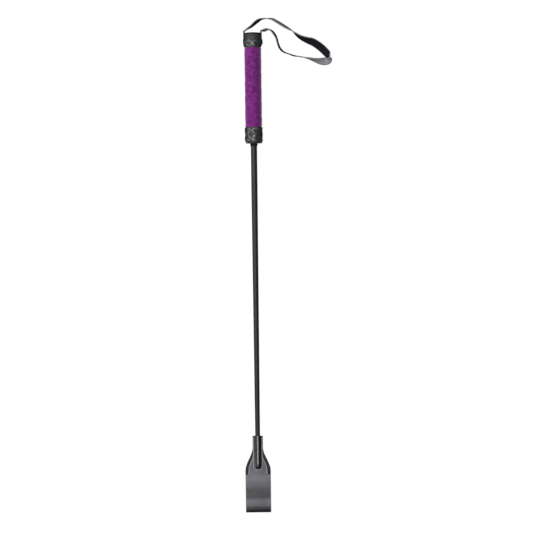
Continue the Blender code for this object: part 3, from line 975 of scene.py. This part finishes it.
@dataclass(frozen=True)
class Studio:
    """Pale floor, soft light and the camera that looks straight down.

    A lamp has its name, place, side and power. Sky, bounce and paper are shares of white: the world
    as the pieces see it, the floor as they see it, and the floor as the camera does.
    """

    lens: float = 250.0
    sensor: float = 36.0
    view_width: float = 0.7332
    centre: tuple[float, float, float] = (0.0152, 0.0084, 0.010)
    turn: float = -0.0129
    floor_size: float = 6.0
    floor_height: float = -0.0004
    lamps: tuple = (("side_lamp", (-1.9, 0.5, 1.0), 1.0, 32.0), ("top_lamp", (-0.3, 0.3, 2.4), 0.4, 56.0))
    sky: float = 0.2
    bounce: float = 0.06
    paper: float = 0.1
    glow: float = 0.9

    def build(self) -> None:
        """Set the floor, the lights, the world and the camera."""
        half = self.floor_size / 2
        mesh = bpy.data.meshes.new("floor")
        mesh.from_pydata([(-half, -half, 0.0), (half, -half, 0.0), (half, half, 0.0),
                          (-half, half, 0.0)], [], [(0, 1, 2, 3)])
        floor = put("floor", mesh)
        floor.location.z = self.floor_height
        mesh.materials.append(self._paper())

        world = bpy.data.worlds.new("studio")
        world.use_nodes = True
        background = world.node_tree.nodes["Background"]
        background.inputs["Color"].default_value = (1.0, 1.0, 1.0, 1.0)
        graph = Graph(world.node_tree)
        seen = graph.add("LightPath").outputs["Is Camera Ray"]
        graph.fill(background, {"Strength": graph.sum(graph.scale(seen, 1.0 - self.sky), self.sky)})
        bpy.context.scene.world = world

        for lamp in self.lamps:
            self._lamp(*lamp)

        camera = bpy.data.cameras.new("camera")
        camera.lens, camera.sensor_width = self.lens, self.sensor
        camera.clip_end = 20.0
        holder = put("camera", camera)
        x, y, z = self.centre
        holder.location = (x, y, z + self.view_width * self.lens / self.sensor)
        holder.rotation_euler = (0.0, 0.0, self.turn)
        bpy.context.scene.camera = holder
        bpy.context.scene.view_settings.view_transform = "Standard"

    def _paper(self) -> bpy.types.Material:
        """White paper that the camera sees lit through from below, so shadows on it stay faint.

        Returns:
            The floor's material.
        """
        material, graph, shader = start_material("paper")
        seen = graph.add("LightPath").outputs["Is Camera Ray"]
        graph.fill(shader, {"Base Color": graph.blend(seen, rgba((self.bounce,) * 3),
                                                      rgba((self.paper,) * 3)),
                            "Roughness": 0.9, "Emission Color": rgba((1.0,) * 3),
                            "Emission Strength": graph.scale(seen, self.glow)})
        return material

    @staticmethod
    def _lamp(name: str, place: tuple[float, float, float], size: float, power: float) -> None:
        """Add a square soft lamp aimed at the middle of the crop.

        Args:
            name: The lamp's name.
            place: Where it hangs.
            size: Its side.
            power: Its power in watts.
        """
        data = bpy.data.lights.new(name, "AREA")
        data.size, data.energy = size, power
        lamp = put(name, data)
        lamp.location = place
        lamp.rotation_euler = lamp.location.to_track_quat("Z", "Y").to_euler()


# ---------------------------------------------------------------- the wrist strap


# The free loop's middle line from the left exit round to the right one: x, distance beyond the
# butt, height over the floor, in millimetres, and its roll in degrees (0 stands on edge).
STRAP_ROUTE = (
    (-7.3, 5.6, 13.9, -5), (-1.9, 9.0, 12.9, -12),
    (2.9, 13.1, 11.7, -19), (8.0, 16.8, 10.4, -19), (14.0, 19.3, 9.0, -4), (20.8, 19.7, 7.8, 4),
    (27.6, 18.7, 6.9, 16), (34.8, 14.7, 6.1, 21), (42.8, 9.7, 5.8, 21), (50.0, 5.3, 5.8, 14),
    (55.4, 2.0, 5.9, 2), (60.6, -2.4, 5.9, -14), (67.0, -6.8, 5.5, -28), (74.6, -10.1, 4.7, -47),
    (83.2, -13.2, 2.7, -73), (91.9, -18.9, 1.3, -87), (98.6, -25.0, 1.6, -84), (103.6, -30.6, 3.7, -60),
    (106.0, -34.6, 5.9, 0), (104.2, -38.2, 4.2, 58), (99.8, -39.8, 2.6, 75), (93.0, -39.5, 4.1, 52),
    (85.0, -37.8, 5.5, 24), (76.8, -35.4, 5.9, 8), (66.4, -33.3, 5.9, -6), (56.4, -31.6, 5.9, 0),
    (49.6, -29.1, 6.0, -2), (42.4, -26.2, 6.2, -8), (37.4, -20.8, 7.0, -10), (34.8, -14.2, 8.1, -10),
    (32.9, -7.3, 9.4, -13), (30.3, -2.4, 10.5, -16), (26.8, 1.9, 11.5, -14), (22.8, 4.1, 12.5, -2),
    (18.8, 4.0, 13.4, 14), (15.6, 3.2, 14.1, 14),
)


@dataclass
class WristStrap:
    """One flat leather strap: a free loop whose two ends lie down the sides of the upper cap."""

    width: float = 11.2
    thickness: float = 1.5
    seat_radius: float = 12.2
    tuck: float = 14.2
    lift: float = 0.7
    lead: float = 1.6
    steps: int = 10
    flatten: float = 9.0
    relief: float = 0.12
    pressed: float = 0.33
    seed: int = 5

    def centreline(self) -> tuple[np.ndarray, np.ndarray]:
        """The strap's whole middle line, in metres, and its roll in radians.

        Returns:
            Points and rolls, from the left end under the knot to the right one.
        """
        butt = AXIS.origin
        rows = [(x * MM, butt[1] + beyond * MM, z * MM, math.radians(roll))
                for x, beyond, z, roll in STRAP_ROUTE]
        ends = []
        for side in (-1.0, 1.0):
            down = [AXIS.place(*(np.array(v) for v in (side * self.seat_radius, 0.0, station)))
                    for station in (self.tuck, 0.66 * self.tuck, 0.33 * self.tuck, 0.0)]
            out = [(side * self.seat_radius * MM, butt[1] + beyond * MM, butt[2])
                   for beyond in (self.lift, self.lift + self.lead)]
            ends.append([(*point, 0.0) for point in down + out])
        curve = catmull_rom(np.array(ends[0] + rows + ends[1][::-1]), self.steps)
        return curve[:, :3], curve[:, 3]

    def build(self) -> list[bpy.types.Object]:
        """Make the strap.

        Returns:
            The strap.
        """
        path, roll = self.centreline()
        tangent = unit(np.gradient(path, axis=0))
        sideways = unit(np.cross(UP, tangent))
        upright = np.cross(tangent, sideways)
        cos, sin = np.cos(roll)[:, None], np.sin(roll)[:, None]
        wide = cos * upright - sin * sideways
        outward = cos * sideways + sin * upright
        distance = run_length(path)
        to_end = np.minimum(distance, distance[-1] - distance) / MM
        held = 1.0 - ease((to_end - self.tuck) / self.flatten)
        bend = held / (self.seat_radius * MM)
        held = held[:, None]
        across, out, number = band_section(self.width * MM, self.thickness * MM, self.relief * MM)
        wave = self.relief * MM * ripple(distance[:, None] / MM, across[None] / MM, self.seed)
        out = out[None] * (1.0 - self.pressed * held) + wave * (1.0 - held)
        points = sweep(path, wide, outward, across, out, bend)
        piece = shell("wrist_strap_leather", points, uv_grid(number, distance))
        dress(piece, STRAP_LEATHER, Body.CROP, "wrist_strap", "strap_end_left", "strap_end_right")
        LOG.info("strap cut length %.1f mm", distance[-1] / MM)
        return [piece]


# ---------------------------------------------------------------- the handle


@dataclass
class Knot:
    """A Turk's head of flat lace: one closed strand woven round a cap."""

    name: str
    node: str
    leads: int
    bights: int
    lace: float
    thickness: float
    seat: float
    strap_rise: float = 0.0
    strap_end: float = 13.2
    phase: float = 0.0
    rows: int = 720

    def build(self) -> bpy.types.Object:
        """Weave the knot.

        The strand goes round as many times as there are leads while it swings from edge to edge
        as the cosine of the bights, and lies over and under by the sine of (leads - 1) times that
        angle, so that it alternates at each crossing.

        Returns:
            The knot.
        """
        span = AXIS.span(self.node)
        turn = np.arange(self.rows) / self.rows * TURN
        swing = self.bights * turn
        reach = (span.length - self.lace * 1.02) / 2
        station = span.middle + reach * np.cos(swing)
        angle = self.leads * turn + self.phase + math.pi / 2
        over = np.tanh(2.0 * np.sin((self.leads - 1) * swing)) / math.tanh(2.0)
        strap = ease((np.abs(np.cos(angle)) - 0.80) / 0.14) * self.strap_rise
        strap = strap * (1.0 - ease((station - self.strap_end) / 3.0))
        radius = self.seat + strap + self.thickness * (1.02 + 0.53 * over)
        path = AXIS.turn(radius, angle, station)
        ring = np.concatenate([path[-1:], path, path[:1]])
        tangent = unit(ring[2:] - ring[:-2])
        radial = unit(AXIS.turn(radius + 1.0, angle, station) - path)
        wide = unit(np.cross(tangent, radial))
        outward = np.cross(wide, tangent)
        across, out, number = band_section(self.lace * MM, self.thickness * MM, 0.08 * MM,
                                           face_points=7)
        points = sweep(path, wide, outward, across, out, 0.75 / (self.seat * MM))
        length = np.linalg.norm(np.diff(ring, axis=0), axis=1)[:-1].sum()
        piece = shell(self.name, points, uv_grid(number, np.linspace(0.0, length, self.rows + 1)),
                      along=True)
        return dress(piece, LACE_LEATHER, Body.CROP, self.node)


@dataclass
class Handle:
    """Suede grip between two leather caps, each with its knot."""

    sides: int = 144
    wrap_pitch: float = 20.0
    wrap_step: float = 0.34
    wrap_start: float = 16.0
    wrap_edge: float = 0.04
    suede_thickness: float = 0.7
    suede_rows: int = 290
    end_drop: float = 0.5
    end_round: float = 1.2
    relief: float = 0.1
    seam_angle: float = 0.4
    seed: int = 11
    dome: float = 0.75
    wall: float = 0.9
    washer_bore: float = 4.6
    knots: list[Knot] = field(default_factory=lambda: [
        Knot("upper_knot_lace", "upper_knot", 2, 7, 4.5, 0.55, 11.45, strap_rise=1.2,
             phase=-math.pi / 7 + 0.04),
        Knot("lower_knot_lace", "lower_knot", 4, 5, 5.0, 0.45, 11.4, phase=0.9, rows=1200),
    ])

    def _turned(self, name: str, profile: np.ndarray, finish: Leather,
                *nodes: str) -> bpy.types.Object:
        """Turn a closed profile of (radius, station) points round the axis.

        Args:
            name: The piece's name.
            profile: Rows of radius and station.
            finish: Its finish.
            *nodes: The CAD nodes it replaces.

        Returns:
            The piece.
        """
        points = AXIS.turn(profile[:, :1], ring_angles(self.sides), profile[:, 1:])
        run = run_length(np.concatenate([profile, profile[:1]])) * MM
        uv = uv_grid(np.linspace(0.0, 1.0, self.sides + 1), run)
        return dress(shell(name, points, uv, along=True), finish, Body.CROP, *nodes)

    def _tube(self, span: Span, bore: float | None, edge: float, groove: float | None) -> np.ndarray:
        """Profile of a tube with rounded outer edges and, if wanted, one pressed line round it.

        Args:
            span: Where the tube lies.
            bore: The bore's radius, or None for a wall of the leather's thickness.
            edge: The rounding's radius.
            groove: The pressed line's distance from the start.

        Returns:
            Rows of radius and station.
        """
        bore = span.radius - self.wall if bore is None else bore
        flat = span.radius - edge
        angle = np.linspace(0.0, math.pi / 2, 5)
        sin, cos = edge * np.sin(angle), edge * np.cos(angle)
        run = np.linspace(span.start + edge, span.end - edge, 40)[1:-1]
        side = np.full_like(run, span.radius)
        if groove is not None:
            side = side - 0.3 * np.exp(-((run - span.start - groove) / 0.35) ** 2)
        return np.concatenate([np.stack([flat + sin, span.start + edge - cos], -1),
                               np.stack([side, run], -1),
                               np.stack([flat + cos, span.end - edge + sin], -1),
                               [[bore, span.end], [bore, span.start]]])

    def _suede(self) -> bpy.types.Object:
        """A strip of suede wound in a spiral.

        The radius falls by a step where one turn's edge lies on the next and rises again over the
        strip's width: step times (1 - share), where share is the part of a pitch passed at that
        station and angle. The slow unevenness fades out where the last column meets the first.

        Returns:
            The piece.
        """
        span = AXIS.span("suede_grip")
        angle = ring_angles(self.sides)[None]
        station = np.linspace(span.start, span.end, self.suede_rows)
        from_start = station[:, None] - span.start
        turns = (from_start - self.wrap_start) / self.wrap_pitch + angle / TURN
        share = turns - np.floor(turns)
        step = self.wrap_step * ease(share / self.wrap_edge) * (1.0 - share)
        to_end = np.minimum(from_start, span.end - station[:, None])
        soften = self.end_drop * (1.0 - ease(to_end / self.end_round))
        seam = ease(angle / self.seam_angle) * ease((TURN - angle) / self.seam_angle)
        wave = self.relief * ripple(span.radius * angle, station[:, None], self.seed, 5) * seam
        radius = span.radius + self.relief + step - soften + wave
        worn = np.exp(-(np.minimum(share, 1.0 - share) / self.wrap_edge) ** 2)
        worn = np.concatenate([worn, np.zeros((2, self.sides))])
        around = np.linspace(0.0, 1.0, self.sides + 1)
        uv = np.stack([np.broadcast_to(around, (len(worn) + 1, self.sides + 1)),
                       np.pad(worn, ((0, 1), (0, 1)), mode="wrap")], axis=-1)
        piece = tube("suede_wrap", radius, span.radius - self.suede_thickness, station, uv)
        return dress(piece, SUEDE, Body.CROP, "suede_grip")

    def _butt(self) -> bpy.types.Object:
        """The butt's leather disc, domed and with a rounded rim.

        Returns:
            The piece.
        """
        span = AXIS.span("butt_disc")
        share = np.linspace(0.02, 1.0, 14)
        angle = np.linspace(0.0, math.pi, 9)[1:-1]
        rim = span.length / 2
        dome = np.stack([share * (span.radius - rim), span.start - self.dome * (1.0 - share ** 2)], -1)
        edge = np.stack([span.radius - rim + rim * np.sin(angle),
                         span.middle - rim * np.cos(angle)], -1)
        back = np.stack([share[::-1] * (span.radius - rim), np.full(14, span.end)], -1)
        profile = np.concatenate([dome, edge, back])
        points = AXIS.turn(profile[:, :1], ring_angles(self.sides), profile[:, 1:])
        uv = uv_grid(np.linspace(0.0, 1.0, self.sides + 1), np.linspace(0.0, 1.0, len(profile)))
        return dress(shell("butt_disc_leather", points, uv), DISC_LEATHER, Body.CROP, "butt_disc")

    def build(self) -> list[bpy.types.Object]:
        """Make the handle.

        Returns:
            Its pieces, from the butt down.
        """
        made = [self._butt(), self._suede()]
        for name, node, bore, edge, groove in (
                ("upper_cap_band", "upper_cap_sleeve", None, 0.35, 2.2),
                ("lower_cap_band", "lower_cap_sleeve", None, 0.3, None),
                ("lower_cap_ring", "lower_cap_washer", self.washer_bore, 0.5, None)):
            profile = self._tube(AXIS.span(node), bore, edge, groove)
            made.append(self._turned(name, profile, CAP_LEATHER, node))
        return made + [knot.build() for knot in self.knots]


# ---------------------------------------------------------------- the shaft


@dataclass
class Shaft:
    """Braided cover over the rod, and the whipping where it leaves the cap."""

    columns: int = 72
    row_length: float = 0.48
    strands: int = 8
    rib: float = 2.7
    relief: float = 0.2
    taper_start: float = 210.0
    taper_end: float = 545.0
    tip_radius: float = 3.3
    bore_wall: float = 0.6
    whipping_turns: int = 4
    whipping_rows: int = 60
    whipping_wall: float = 0.4

    def _uv(self, turns: float, station: np.ndarray) -> np.ndarray:
        """Pattern coordinates of a tube: strands round it, and metres along it."""
        return uv_grid(np.linspace(0.0, turns, self.columns + 1),
                       np.append(station, station[[-1, 0, 0]]) * MM)

    def _braid(self) -> bpy.types.Object:
        """The braid: two families of strands that cross.

        A strand's height is the half circle of its own share of the pitch, lifted or lowered by a
        cosine where it passes over or under the other family, and the higher strand shows.

        Returns:
            The piece.
        """
        span = AXIS.span("shaft_cover")
        count = int(span.length / self.row_length)
        station = np.linspace(span.start, span.end, count)
        around = self.strands * ring_angles(self.columns)[None] / TURN
        first = around + station[:, None] / self.rib
        second = around - station[:, None] / self.rib
        shares = [value - np.floor(value) - 0.5 for value in (first, second)]
        sign = 1.0 - 2.0 * np.mod(np.floor(first) + np.floor(second), 2.0)
        rounds = [np.sqrt(np.maximum(0.0, 1.0 - (1.9 * share) ** 2)) for share in shares]
        lifts = [np.cos(math.pi * share) for share in shares]
        height = np.maximum(rounds[0] + 0.8 * sign * lifts[1], rounds[1] - 0.8 * sign * lifts[0])
        along = (station - self.taper_start) / (self.taper_end - self.taper_start)
        base = span.radius + (self.tip_radius - span.radius) * np.clip(along, 0.0, 1.0)
        radius = base[:, None] + self.relief * (height / 1.8 - 0.75)
        bore = base[[-1, 0]][:, None] - self.bore_wall
        piece = tube("shaft_braid", radius, bore, station, self._uv(self.strands, station))
        return dress(piece, BRAID, Body.CROP, "shaft_cover")

    def _whipping(self) -> bpy.types.Object:
        """Turns of thread side by side: the radius follows the sine's size once for each turn.

        Returns:
            The piece.
        """
        span = AXIS.span("shaft_collar")
        station = np.linspace(span.start, span.end, self.whipping_rows)
        share = (station[:, None] - span.start) / span.length
        turns = self.whipping_turns * share + ring_angles(self.columns)[None] / TURN
        bore = span.radius - self.whipping_wall
        radius = bore + 0.1 + 0.35 * np.sqrt(np.abs(np.sin(math.pi * turns)))
        piece = tube("shaft_whipping", radius, bore, station, self._uv(1.0, station))
        return dress(piece, WHIPPING_THREAD, Body.CROP, "shaft_collar")

    def build(self) -> list[bpy.types.Object]:
        """Make the shaft's cover and whipping.

        Returns:
            Both pieces.
        """
        return [self._braid(), self._whipping()]


# ---------------------------------------------------------------- the popper


@dataclass
class Popper:
    """One piece of leather folded at the popper's end, its two leaves sewn over the rod's tip."""

    leaf: float = 1.4
    inner_leaf: float = 1.302
    ridge: float = 4.9
    neck_half: float = 7.1
    blade_half: float = 17.4
    shoulder_length: float = 33.5
    tip_before_hinge: float = 6.0
    runout: float = 3.6
    fold_rise: float = 2.2
    fold_length: float = 4.6
    inset: float = 4.0
    seam_offset: float = 5.9
    stitch: float = 2.4
    thread: float = 0.38
    columns: int = 121

    def __post_init__(self) -> None:
        """Read the neck's start, the bend and the blade's slope from the frame."""
        joint = named(frame["record"]["behaviour"]["joints"], "popper_flex")
        hinge = np.array(joint["pos_m"]) - AXIS.origin
        self.hinge = float(hinge @ AXIS.towards_tip) / MM
        self.start = AXIS.span("popper_neck").start - 0.25
        face = unit(np.array(named(frame["record"]["mounts"], "popper_face")["axis"]))
        self.slope = math.asin(float(face @ AXIS.towards_tip))
        low = np.array(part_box("popper_blade")[0])
        self.end = float((low - AXIS.origin) @ AXIS.towards_tip) / MM

    def half_width(self, station: np.ndarray, front: bool) -> np.ndarray:
        """Half the leaf's width: straight, then a cosine out to the blade's width.

        The front leaf is cut a little inside the back one along the shoulders.

        Args:
            station: Stations, in millimetres.
            front: Whether the leaf is the front one.

        Returns:
            Half the width at each station.
        """
        along = np.clip((station - self.hinge + self.shoulder_length) / self.shoulder_length, 0.0, 1.0)
        width = self.neck_half + (self.blade_half - self.neck_half) * (1 - np.cos(math.pi * along)) / 2
        if front:
            step = 1.0 - ease((station - self.hinge - 3.5) / 2.5)
            width = width - self.inset * ease(along / 0.55) * step
        return width

    def rise(self, across: np.ndarray, station: np.ndarray) -> np.ndarray:
        """Height of the outer surface over the middle plane.

        It is the leaf's thickness plus the ridge: a half circle over the rod with a soft foot,
        which falls away as a quarter ellipse beyond the rod's tip.

        Args:
            across: Distances from the middle line.
            station: Stations.

        Returns:
            Height at each point.
        """
        tip = self.hinge - self.tip_before_hinge
        beyond = np.clip((station - tip) / self.runout, 0.0, 1.0)
        scale = np.sqrt(1.0 - beyond ** 2)
        radius = np.maximum(self.ridge * scale, 1e-3)
        circle = np.sqrt(np.maximum(0.0, radius ** 2 - across ** 2))
        foot = 0.35
        lifted = np.log(np.exp((circle - self.leaf) / foot) + 1.0) * foot
        fade = ease((np.abs(across) - 5.2) / 1.6)
        blade = np.clip((station - self.hinge) / (self.end - self.hinge), 0.0, 1.0)
        thick = self.leaf + (self.fold_rise - self.leaf) * blade
        bow = 0.25 * np.sin(math.pi * blade) * np.cos(math.pi * across / (2.3 * self.blade_half))
        return thick + lifted * (1.0 - fade) + bow

    def bend_down(self, across: np.ndarray, height: np.ndarray, station: np.ndarray) -> np.ndarray:
        """World points, with what lies beyond the bend turned down to the floor.

        Args:
            across: Distances from the middle line.
            height: Heights over the middle plane.
            station: Stations along the flattened leather.

        Returns:
            Points in metres.
        """
        past = np.maximum(0.0, station - self.hinge)
        straight = np.minimum(station, self.hinge)
        turned = ease((station - self.hinge + 5.0) / 10.0) * self.slope
        return AXIS.place(across, height * np.cos(turned) - past * math.sin(self.slope),
                          straight + past * math.cos(self.slope) + height * np.sin(turned))

    def _rounding(self, across: np.ndarray, width: np.ndarray | float) -> tuple:
        """How far the outer surface drops at the edge, and how far the inner one lies below it."""
        edge = 0.28 * ease((np.abs(across) - width + 0.5) / 0.5)
        return edge, edge * 0.4 - self.inner_leaf

    def _leather(self) -> bpy.types.Object:
        """The folded leather: its section, a flat band with a ridge, is carried down the front,
        round the fold and back up behind.

        Going down, the outer surface is the rise and the inner one lies a leaf below it. Round the
        fold both follow a half ellipse. Going back, the same is mirrored.

        Returns:
            The leather, with its edges painted.
        """
        turn_at = self.end - self.fold_length
        down = np.concatenate([np.linspace(self.start, self.hinge - 8.0, 60)[:-1],
                               np.linspace(self.hinge - 8.0, self.hinge, 34)[:-1],
                               np.linspace(self.hinge, turn_at, 40)])
        angle = np.linspace(0.0, math.pi, 26)[1:-1]
        across = np.linspace(-1.0, 1.0, self.columns)
        outer, inner, along = [], [], []
        for front, side in ((True, 1.0), (False, -1.0)):
            station = down if front else down[::-1]
            width = self.half_width(station, front)[:, None]
            x = across[None] * width
            height = self.rise(x, station[:, None])
            edge, under = self._rounding(x, width)
            outer.append(self.bend_down(x, side * (height - edge), station[:, None]))
            inner.append(self.bend_down(x, side * (height + under), station[:, None]))
            along.append(station)
        x = np.broadcast_to(across[None] * self.blade_half, (len(angle), self.columns))
        swing = angle[:, None]
        top = self.rise(x, np.full_like(x, turn_at))
        edge, under = self._rounding(x, self.blade_half)
        fold_out = self.bend_down(x, (top - edge) * np.cos(swing),
                                  turn_at + (self.fold_length - edge) * np.sin(swing))
        fold_in = self.bend_down(x, (top + under) * np.cos(swing),
                                 turn_at + (self.fold_length - self.inner_leaf) * np.sin(swing))
        outside = np.concatenate([outer[0], fold_out, outer[1]])
        inside = np.concatenate([inner[0], fold_in, inner[1]])
        ring = np.concatenate([outside, inside[:, ::-1]], axis=1)
        run = np.concatenate([along[0], turn_at + angle * 3.0, 2 * turn_at + 10.0 - along[1]]) * MM
        wide = np.concatenate([across, 3.0 - across[::-1] * 0.5]) * self.blade_half * MM
        uv = uv_grid(np.append(wide, wide[0]), run)
        piece = shell("popper_leather_fold", ring, uv)
        dress(piece, POPPER_LEATHER, None, "popper_neck", "popper_blade")
        self._paint_edges(piece)
        return piece

    def _paint_edges(self, piece: bpy.types.Object) -> None:
        """Give the cut edges and the inner, flesh side their own darker finish.

        Args:
            piece: The folded leather.
        """
        mesh = piece.data
        mesh.materials.append(MATERIALS[EDGE_LEATHER.name])
        rows = len(mesh.vertices) // (2 * self.columns)
        quads = (rows - 1) * 2 * self.columns
        column = np.arange(quads) % (2 * self.columns)
        hidden = (column >= self.columns - 1).astype(np.int32)
        full = np.ones(len(mesh.polygons), np.int32)
        full[:quads] = hidden
        mesh.polygons.foreach_set("material_index", full)

    def _seam_line(self, side: float) -> np.ndarray:
        """Half of the U-shaped seam: down beside the ridge and round the rod's tip to the middle.

        Args:
            side: -1 on the left and 1 on the right.

        Returns:
            Rows of across and station.
        """
        tip = self.hinge - self.tip_before_hinge
        first = self.start + 2.6
        straight = np.linspace(first, tip - 2.0, 60)
        angle = np.linspace(0.0, math.pi / 2, 24)[1:]
        x = np.concatenate([np.full(60, self.seam_offset), self.seam_offset * np.cos(angle)])
        station = np.concatenate([straight, tip - 2.0 + 6.6 * np.sin(angle)])
        return np.stack([side * x, station], axis=-1)

    def _shoulder_line(self, side: float) -> np.ndarray:
        """The seam that follows the front leaf's edge along the shoulder.

        Args:
            side: -1 on the left and 1 on the right.

        Returns:
            Rows of across and station.
        """
        station = np.linspace(self.hinge - 26.0, self.hinge + 4.0, 60)
        x = self.half_width(station, True) - 1.25
        return np.stack([side * x, station], axis=-1)

    def _stitches(self, line: np.ndarray) -> np.ndarray:
        """Stitches along a line on both faces: each a short thread that arches out of its holes.

        Args:
            line: Rows of across and station.

        Returns:
            Copies x rows x columns x 3.
        """
        run = run_length(line)
        count = int(run[-1] / self.stitch)
        share = np.linspace(-0.43, 0.43, 9)
        where = (np.arange(count)[:, None] + 0.5 + share[None]) * run[-1] / count
        x, station = (np.interp(where, run, line[:, i]) for i in range(2))
        arch = self.thread * (1.15 * np.cos(math.pi * share / 0.95) - 0.35)
        around = ring_angles(8)
        taper = self.thread * (0.55 + 0.45 * np.cos(math.pi * share))
        slopes = [np.gradient(values, axis=1) for values in (x, station)]
        size = np.hypot(*slopes)
        ring_side = taper[:, None] * np.cos(around)
        height = (self.rise(x, station) + arch)[..., None] + taper[:, None] * np.sin(around)
        side = x[..., None] + ring_side * (slopes[1] / size)[..., None]
        place = station[..., None] - ring_side * (slopes[0] / size)[..., None]
        return np.concatenate([self.bend_down(side, face * height, place) for face in (1.0, -1.0)])

    def _seam(self, side: float, name: str, node: str) -> bpy.types.Object:
        """All stitches on one side of the popper.

        Args:
            side: -1 on the left and 1 on the right.
            name: The piece's name.
            node: The CAD node it replaces.

        Returns:
            The stitches.
        """
        points = np.concatenate([self._stitches(self._seam_line(side)),
                                 self._stitches(self._shoulder_line(side))])
        uv = uv_grid(np.linspace(0.0, 1.0, 9), np.linspace(0.0, self.stitch * MM, 9))
        return dress(shell(name, points, uv), SEWING_THREAD, None, node)

    def build(self) -> list[bpy.types.Object]:
        """Make the popper.

        Returns:
            The leather and the stitches of both sides.
        """
        made = [self._leather(),
                self._seam(-1.0, "popper_stitches_left", "popper_seam_left"),
                self._seam(1.0, "popper_stitches_right", "popper_seam_right")]
        start, end = (AXIS.place(np.array(0.0), np.array(0.0), np.array(self.hinge + reach)).tolist()
                      for reach in (-5.0, 7.0))
        for piece in made:
            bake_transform(piece)
        return made


@dataclass(frozen=True)
class Inside:
    """The CAD pieces inside, which keep their shape and get a finish of their own."""

    finishes: tuple = (("core_rod", GLASS_FIBRE), ("grip_core", PLASTIC), ("butt_plug", PLASTIC),
                       ("tip_cap", PLASTIC), ("strap_tack_left", STEEL), ("strap_tack_right", STEEL))

    def build(self) -> list[bpy.types.Object]:
        """Put each finish in its node's material slots.

        Returns:
            The CAD pieces.
        """
        made = []
        for name, finish in self.finishes:
            piece = frame["nodes"][name]
            piece.data.materials.clear()
            piece.data.materials.append(MATERIALS[finish.name])
            made.append(piece)
        return made


def main() -> None:
    """Build the studio and the crop, piece by piece."""
    logging.basicConfig(level=logging.INFO, format="%(name)s: %(message)s")
    Studio().build()
    for assembly in (WristStrap(), Handle(), Shaft(), Popper(), Inside()):
        for piece in assembly.build():
            LOG.info("%s: %s, %d faces", type(assembly).__name__, piece.name, len(piece.data.polygons))


if __name__ == "__main__":
    main()
